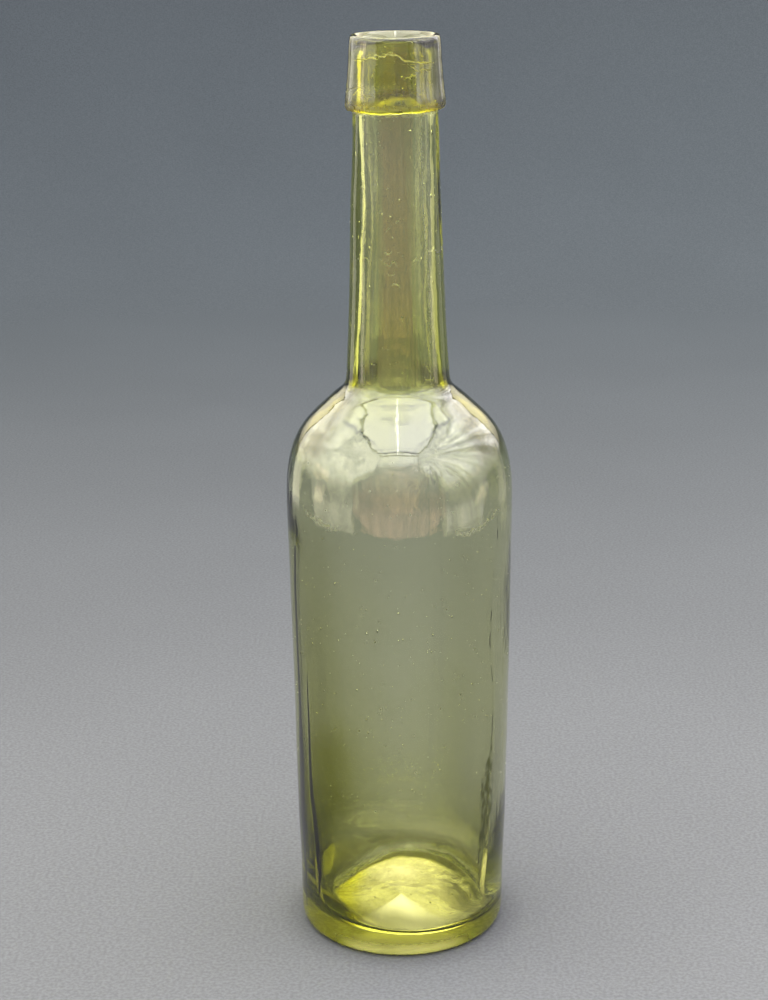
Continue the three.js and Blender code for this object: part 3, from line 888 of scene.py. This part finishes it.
def tent_light(nb, vector):
    """Colour and brightness of the tent in a direction."""
    n = nb.new("ShaderNodeVectorMath")
    n.operation = "NORMALIZE"
    nb.put(n.inputs[0], vector)
    x, y, z = nb.new("ShaderNodeSeparateXYZ", Vector=n.outputs[0]).outputs
    ax = nb.math("ABSOLUTE", x)
    # the ceiling narrows towards the front
    slant = nb.ramp(nb.math("DIVIDE", y, nb.most(z, 0.4)), -0.9, 0.4, 0.69, 1.15, "LINEAR")
    wide = nb.mix(nb.ramp(z, 0.45, 0.65), 1.0, slant)
    wall, front = nb.math("DIVIDE", nb.math("MULTIPLY", ax, 1 / SIDE), wide), nb.math("MULTIPLY", y, -1 / FRONT)
    back, top = nb.math("MULTIPLY", y, 1 / BACK), nb.math("MULTIPLY", z, 1 / TOP)
    far = nb.most(wall, front, back, top)

    def near(a, b, lo, hi):
        """1 where two faces meet, 0 away from that edge."""
        gap = nb.math("ABSOLUTE", nb.math("DIVIDE", nb.math("SUBTRACT", a, b), far))
        both = nb.ramp(nb.math("DIVIDE", nb.math("MINIMUM", a, b), far), 0.88, 0.93)
        return nb.math("MULTIPLY", nb.ramp(gap, lo, hi, 1.0, 0.0), both)

    def wins(a, *others):
        return nb.ramp(nb.math("DIVIDE", nb.math("SUBTRACT", a, nb.most(*others)), far), -0.01, 0.01)

    on_top, on_wall = wins(top, wall, front, back), wins(wall, top, front, back)
    on_front, on_back = wins(front, wall, top, back), wins(back, wall, top, front)
    level_z = nb.math("DIVIDE", z, nb.math("SQRT", nb.math("SUBTRACT", 1.001, nb.math("MULTIPLY", z, z))))
    turn_y = nb.math("DIVIDE", y, nb.math("SQRT", nb.math("SUBTRACT", 1.001, nb.math("MULTIPLY", z, z))))
    # towards the back the grey cloth stands higher against the walls than beside the bottle
    behind = nb.ramp(turn_y, 0.0, 0.2)
    foot = nb.ramp(level_z, nb.mix(behind, -0.33, -0.02), nb.mix(behind, -0.30, 0.05))
    lamp_foot = foot
    foot = nb.math("MULTIPLY", foot, curve(nb, level_z, [-0.5, -0.33, -0.26, -0.2, -0.14, -0.06, 0.0, 0.06, 0.12, 0.25, 0.4, 0.7, 1.0, 2.0],
                                           [0.28, 0.28, 0.30, 0.28, 0.14, 0.11, 0.18, 0.30, 0.48, 0.83, 0.98, 1.06, 1.1, 1.1]))
    # creases in the cloth of the walls
    fold = nb.new("ShaderNodeTexNoise", Vector=n.outputs[0], Scale=5.0, Detail=3.0, Distortion=0.6)
    folds = nb.ramp(fold.outputs[0], 0.35, 0.65, 0.72, 1.12)
    # pulled creases that run down from the front top corner of the right wall
    fan = nb.math("ARCTAN2", nb.math("SUBTRACT", nb.math("DIVIDE", z, nb.most(ax, 0.05)), 1.6),
                  nb.math("ADD", nb.math("DIVIDE", y, nb.most(ax, 0.05)), 1.5))
    pull = nb.new("ShaderNodeTexNoise", Vector=nb.new("ShaderNodeCombineXYZ", X=fan).outputs[0], Scale=9.0, Detail=3.0)
    creases = nb.mix(nb.ramp(x, 0.0, 0.2, 0.25, 1.0), 1.0, nb.ramp(pull.outputs[0], 0.38, 0.58, 0.4, 1.15))
    folds = nb.math("MULTIPLY", folds, creases)
    walls = nb.math("MULTIPLY", nb.math("MULTIPLY", foot, folds), PANEL)
    # a lamp behind the left wall
    side_y = nb.math("DIVIDE", y, nb.most(nb.math("MULTIPLY", x, -1.0), 0.02))
    lit = nb.math("MULTIPLY", nb.ramp(side_y, -0.20, -0.12), nb.ramp(side_y, 0.0, 0.06, 1.0, 0.0))
    wide_lit = nb.math("MULTIPLY", nb.ramp(side_y, -0.27, -0.15), nb.ramp(side_y, 0.05, 0.2, 1.0, 0.0))
    low = nb.math("MULTIPLY", nb.ramp(level_z, -0.21, -0.16), nb.ramp(level_z, -0.09, 0.05, 2.4, 0.0))
    high = nb.math("MULTIPLY", nb.ramp(level_z, 0.07, 0.12), nb.ramp(level_z, 0.15, 0.2, 3.0, 0.0))
    right_y = nb.math("DIVIDE", y, nb.most(x, 0.02))
    lit_r = nb.math("MULTIPLY", nb.ramp(right_y, -0.12, -0.04), nb.ramp(right_y, 0.1, 0.2, 1.0, 0.0))
    low_r = nb.math("MULTIPLY", nb.ramp(level_z, -0.23, -0.18), nb.ramp(level_z, -0.12, -0.03, 1.9, 0.0))
    # warm light low on both walls, behind the bottle and out of the straight view
    rows = nb.math("MULTIPLY", nb.ramp(level_z, -0.32, -0.26), nb.ramp(level_z, 0.05, 0.12, 1.0, 0.0))
    back_l = nb.math("MULTIPLY", nb.ramp(side_y, 0.50, 0.58), nb.ramp(side_y, 0.95, 1.08, 1.25, 0.0))
    back_r = nb.math("MULTIPLY", nb.ramp(right_y, 0.50, 0.58), nb.ramp(right_y, 0.95, 1.08, 0.45, 0.0))
    back_l, back_r = nb.math("MULTIPLY", back_l, nb.math("LESS_THAN", x, 0.0)), nb.math("MULTIPLY", back_r, nb.math("GREATER_THAN", x, 0.0))
    blotch = nb.ramp(fold.outputs[0], 0.4, 0.6, 0.6, 1.25)
    lamps = nb.math("MULTIPLY_ADD", lit, low, nb.math("MULTIPLY_ADD", wide_lit, high, nb.math("MULTIPLY", lit_r, low_r)))
    walls = nb.math("MULTIPLY_ADD", rows, nb.math("ADD", back_l, back_r), walls)
    walls = nb.math("MULTIPLY_ADD", nb.math("MULTIPLY", lamps, blotch), 1.0, walls)
    lit = nb.math("MINIMUM", lamps, 1.0)
    # the ceiling: a bar across it towards the front, a thin strip of lamps along it
    bar = nb.ramp(nb.math("ABSOLUTE", nb.math("MULTIPLY_ADD", nb.math("DIVIDE", y, nb.most(z, 0.05)), 1.0, 0.74)), 0.016, 0.04, 0.15, 1.0)
    lamp = nb.ramp(nb.math("ABSOLUTE", nb.math("DIVIDE", x, nb.most(z, 0.05))), 0.010, 0.022, 2.2, 1.0)
    ceiling = nb.math("MULTIPLY", nb.math("MULTIPLY", bar, lamp), PANEL * 1.25)
    # the open front: a dim room that grows lighter upwards, with a warm floor before it
    ratio = nb.math("DIVIDE", ax, nb.most(nb.math("MULTIPLY", y, -1.0), 0.02))
    limit = nb.ramp(level_z, 0.17, 0.45, 1.0, 0.42)
    beyond = nb.math("SUBTRACT", ratio, limit)
    gap = nb.math("MULTIPLY", nb.ramp(beyond, 0.0, 0.12, 1.0, 0.0), nb.ramp(level_z, 0.55, 0.9, 1.0, 0.0))
    gap = nb.math("MULTIPLY", gap, nb.ramp(y, -0.05, 0.0, 1.0, 0.0))
    room = curve(nb, level_z, [-0.5, -0.33, -0.24, -0.16, -0.1, 0.0, 0.19, 0.36, 0.67, 1.0],
                 [1.9, 1.9, 1.8, 1.3, 0.85, 0.9, 1.3, 2.1, 4.6, 6.4])
    room = nb.math("MULTIPLY", nb.math("MULTIPLY", room, folds), nb.ramp(nb.math("SUBTRACT", level_z, nb.math("MULTIPLY_ADD", nb.math("MULTIPLY", ratio, ratio), 0.10, -0.352)), 0.0, 0.02))
    fronts = nb.math("MULTIPLY", nb.ramp(level_z, 0.34, 0.62, 0.56, 1.05), PANEL)
    # behind, the grey cloth rises to a white wall
    aside = nb.ramp(nb.math("DIVIDE", ax, nb.most(y, 0.05)), 0.34, 0.52)
    rear = nb.mix(aside, nb.math("MULTIPLY", nb.ramp(level_z, 0.34, 0.50), REAR * 0.9), nb.math("MULTIPLY", foot, PANEL * 0.62))
    total = 0.0
    for share, level in ((on_top, ceiling), (on_wall, walls), (on_front, fronts), (on_back, rear)):
        total = nb.math("MULTIPLY_ADD", share, level, total)
    dark = nb.most(near(wall, top, 0.03, 0.06), near(front, top, 0.03, 0.06), near(back, wall, 0.01, 0.03))
    total = nb.math("MULTIPLY", total, nb.ramp(dark, 0.0, 1.0, 1.0, 0.10, "LINEAR"))
    total = nb.mix(gap, total, room)
    # the hems beside the opening
    hem = nb.ramp(nb.math("ABSOLUTE", nb.math("SUBTRACT", beyond, 0.06)), 0.02, 0.05, 0.45, 0.0)
    hem = nb.math("MULTIPLY", nb.math("MULTIPLY", hem, nb.ramp(level_z, 0.5, 1.0, 1.0, 0.0)), nb.ramp(y, -0.05, 0.0, 1.0, 0.0))
    total = nb.math("MULTIPLY", total, nb.math("SUBTRACT", 1.0, hem))
    # low down the light is warmer
    warm = nb.most(nb.ramp(level_z, -0.2, 0.3, 0.5, 0.0), lit)
    brown = nb.math("MULTIPLY", gap, nb.ramp(level_z, -0.05, 0.16, 1.0, 0.0))
    side_b = nb.mix(on_back, nb.ramp(x, -0.2, 0.2, 0.86, 0.99), 0.66)
    col = nb.new("ShaderNodeCombineColor", Red=1.0, Green=nb.mix(brown, nb.mix(warm, nb.mix(on_back, 0.98, 0.94), 0.88), 0.58),
                 Blue=nb.mix(brown, nb.mix(warm, side_b, 0.68), 0.44))
    return col.outputs[0], total


def sweep():
    prof = [(0, 0)] + [(r, 0) for r in np.linspace(0.04, 1.0, 25)]
    prof += [(1.0 + 0.5 * math.sin(t), 0.5 - 0.5 * math.cos(t)) for t in np.linspace(0.06, math.pi / 2, 24)]
    prof += [(1.5, z) for z in np.linspace(0.55, 1.6, 22)]
    n = 180
    verts, faces = [(0, 0, -0.0001)], []
    for i, (r, z) in enumerate(prof[1:]):
        for j in range(n):
            a = 2 * math.pi * j / n
            verts.append((r * math.cos(a), r * math.sin(a), z - 0.0001))
    for j in range(n):
        faces.append((0, 1 + j, 1 + (j + 1) % n))
    for i in range(len(prof) - 2):
        for j in range(n):
            k = (j + 1) % n
            o, q = 1 + i * n, 1 + (i + 1) * n
            faces.append((o + j, q + j, q + k, o + k))
    me = bpy.data.meshes.new("sweep")
    me.from_pydata(verts, [], faces)
    me.shade_smooth()
    ob = bpy.data.objects.new("sweep", me)
    bpy.context.scene.collection.objects.link(ob)
    m = bpy.data.materials.new("sweep_cloth")
    m.use_nodes = True
    m.node_tree.nodes.clear()
    nb = Nodes(m.node_tree)
    out = nb.new("ShaderNodeOutputMaterial")
    tc = nb.new("ShaderNodeTexCoord").outputs["Object"]
    pos = nb.new("ShaderNodeSeparateXYZ", Vector=tc)
    rel = nb.new("ShaderNodeVectorMath")
    rel.operation = "SUBTRACT"
    nb.put(rel.inputs[0], tc)
    rel.inputs[1].default_value = EYE
    glow, light = tent_light(nb, rel.outputs[0])
    # painted shade: grey cloth, painted darker and cooler towards the back where the light falls off
    depth = nb.new("ShaderNodeFloatCurve", Value=nb.math("MULTIPLY_ADD", pos.outputs[1], 0.5, 0.25))
    crv = depth.mapping.curves[0]
    shape = [(-0.5, 0.95), (-0.1, 0.965), (0.0, 0.936), (0.10, 0.893), (0.227, 0.809), (0.306, 0.744), (0.40, 0.695),
             (0.509, 0.638), (0.641, 0.593), (0.804, 0.557), (1.0, 0.54), (1.5, 0.46)]
    pts_ = [(0.25 + 0.5 * y_, v_) for y_, v_ in shape]
    crv.points[0].location = pts_[0]
    crv.points[1].location = pts_[-1]
    for q in pts_[1:-1]:
        crv.points.new(*q)
    depth.mapping.update()
    up = nb.ramp(pos.outputs[2], 0.03, 0.3, 1.0, 1.01)
    noise = nb.new("ShaderNodeTexNoise", Vector=tc, Scale=800.0, Detail=2.0)
    grain = nb.ramp(noise.outputs[0], 0.25, 0.75, 0.88, 1.12)
    blot = nb.new("ShaderNodeTexNoise", Vector=tc, Scale=6.0, Detail=3.0)
    level = nb.math("MULTIPLY", nb.math("MULTIPLY", depth.outputs[0], up),
                    nb.math("MULTIPLY", grain, nb.ramp(blot.outputs[0], 0.3, 0.7, 0.98, 1.02)))
    level = nb.math("MULTIPLY", level, CLOTH)
    # painted shadow: the cloth is painted darker round the bottle's foot
    rim_d = nb.math("SQRT", nb.math("ADD", nb.math("MULTIPLY", pos.outputs[0], pos.outputs[0]),
                                    nb.math("MULTIPLY", pos.outputs[1], pos.outputs[1])))
    level = nb.math("MULTIPLY", level, nb.ramp(rim_d, 0.034, 0.046, 0.83, 1.0))
    # painted shade: the cloth is painted darker to the left and lighter to the right
    level = nb.math("MULTIPLY", level, nb.ramp(pos.outputs[0], -0.4, 0.4, 0.92, 1.08, "LINEAR"))
    cool = nb.ramp(pos.outputs[1], 0.0, 1.4, 0.0, 1.0)
    col = nb.new("ShaderNodeCombineColor",
                 Red=nb.math("MULTIPLY", level, nb.mix(cool, 0.968, 0.855)), Green=level,
                 Blue=nb.math("MULTIPLY", level, nb.mix(cool, 1.10, 1.21)))
    df = nb.new("ShaderNodeBsdfDiffuse", Color=col.outputs[0])
    em = nb.new("ShaderNodeEmission", Color=glow, Strength=light)
    add = nb.new("ShaderNodeAddShader")
    nb.put(add.inputs[0], df.outputs[0])
    nb.put(add.inputs[1], em.outputs[0])
    nb.put(out.inputs["Surface"], add.outputs[0])
    m.cycles.emission_sampling = "NONE"
    me.materials.append(m)
    return ob


CLOTH = 0.078
sweep()


def base_light():
    """A small soft light under the bottle's foot, out of the camera's direct sight."""
    n, rings = 96, 16
    verts, faces = [(0, 0, -0.00004)], []
    for i in range(1, rings + 1):
        for j in range(n):
            t = 2 * math.pi * j / n
            verts.append((0.0312 * i / rings * math.cos(t), 0.0312 * i / rings * math.sin(t), -0.00004))
    for j in range(n):
        k = (j + 1) % n
        faces.append((0, 1 + j, 1 + k))
        for i in range(rings - 1):
            faces.append((1 + i * n + j, 1 + (i + 1) * n + j, 1 + (i + 1) * n + k, 1 + i * n + k))
    me = bpy.data.meshes.new("base_light")
    me.from_pydata(verts, [], faces)
    ob = bpy.data.objects.new("base_light", me)
    bpy.context.scene.collection.objects.link(ob)
    m = bpy.data.materials.new("base_light_mat")
    m.use_nodes = True
    m.node_tree.nodes.clear()
    nb = Nodes(m.node_tree)
    out = nb.new("ShaderNodeOutputMaterial")
    tc = nb.new("ShaderNodeTexCoord").outputs["Object"]
    noise = nb.new("ShaderNodeTexNoise", Vector=tc, Scale=90.0, Detail=3.0)
    level = nb.ramp(noise.outputs[0], 0.35, 0.65, 0.75, 1.15)
    x, y, z = nb.new("ShaderNodeSeparateXYZ", Vector=tc).outputs
    fine = nb.new("ShaderNodeTexNoise", Vector=tc, Scale=800.0, Detail=3.0)
    level = nb.math("MULTIPLY", level, nb.ramp(fine.outputs[0], 0.35, 0.65, 0.80, 1.15))
    side = nb.math("MULTIPLY", nb.ramp(x, -0.0265, -0.0205, 0.62, 1.0), nb.ramp(x, 0.012, 0.020, 1.0, 0.30))
    side = nb.math("MULTIPLY", side, nb.ramp(y, -0.016, 0.000, 0.42, 1.65))
    side = nb.math("MULTIPLY", side, nb.ramp(y, 0.008, 0.018, 1.0, 1.6))
    out_r = nb.math("SQRT", nb.math("ADD", nb.math("MULTIPLY", x, x), nb.math("MULTIPLY", y, y)))
    on_ring = nb.ramp(out_r, 0.0255, 0.0280)
    side = nb.mix(on_ring, side, nb.ramp(y, -0.025, -0.017, 2.5, 0.10))
    yellow = nb.most(nb.ramp(x, -0.0215, -0.0135, 1.0, 0.0), nb.math("MULTIPLY", on_ring, 0.6))
    tint = nb.new("ShaderNodeCombineColor", Red=1.0, Green=0.885, Blue=nb.mix(yellow, 1.20, 0.0))
    em = nb.new("ShaderNodeEmission", Color=tint.outputs[0],
                Strength=nb.math("MULTIPLY", nb.math("MULTIPLY", level, side), FOOT_GLOW))
    nb.put(out.inputs["Surface"], em.outputs[0])
    m.cycles.emission_sampling = "NONE"
    me.materials.append(m)


FOOT_GLOW = 1.92
base_light()

world = bpy.data.worlds.new("studio")
bpy.context.scene.world = world
world.use_nodes = True
world.node_tree.nodes.clear()
nb = Nodes(world.node_tree)
wout = nb.new("ShaderNodeOutputWorld")
wdir = nb.new("ShaderNodeTexCoord").outputs["Generated"]
glow, light = tent_light(nb, wdir)
bg = nb.new("ShaderNodeBackground", Color=glow, Strength=light)
nb.put(wout.inputs["Surface"], bg.outputs[0])
world.cycles.sampling_method = "NONE"

bpy.context.scene.view_settings.view_transform = "Standard"
# light goes round inside thick glass many times
cyc = bpy.context.scene.cycles
cyc.max_bounces, cyc.transmission_bounces, cyc.glossy_bounces = 40, 32, 24
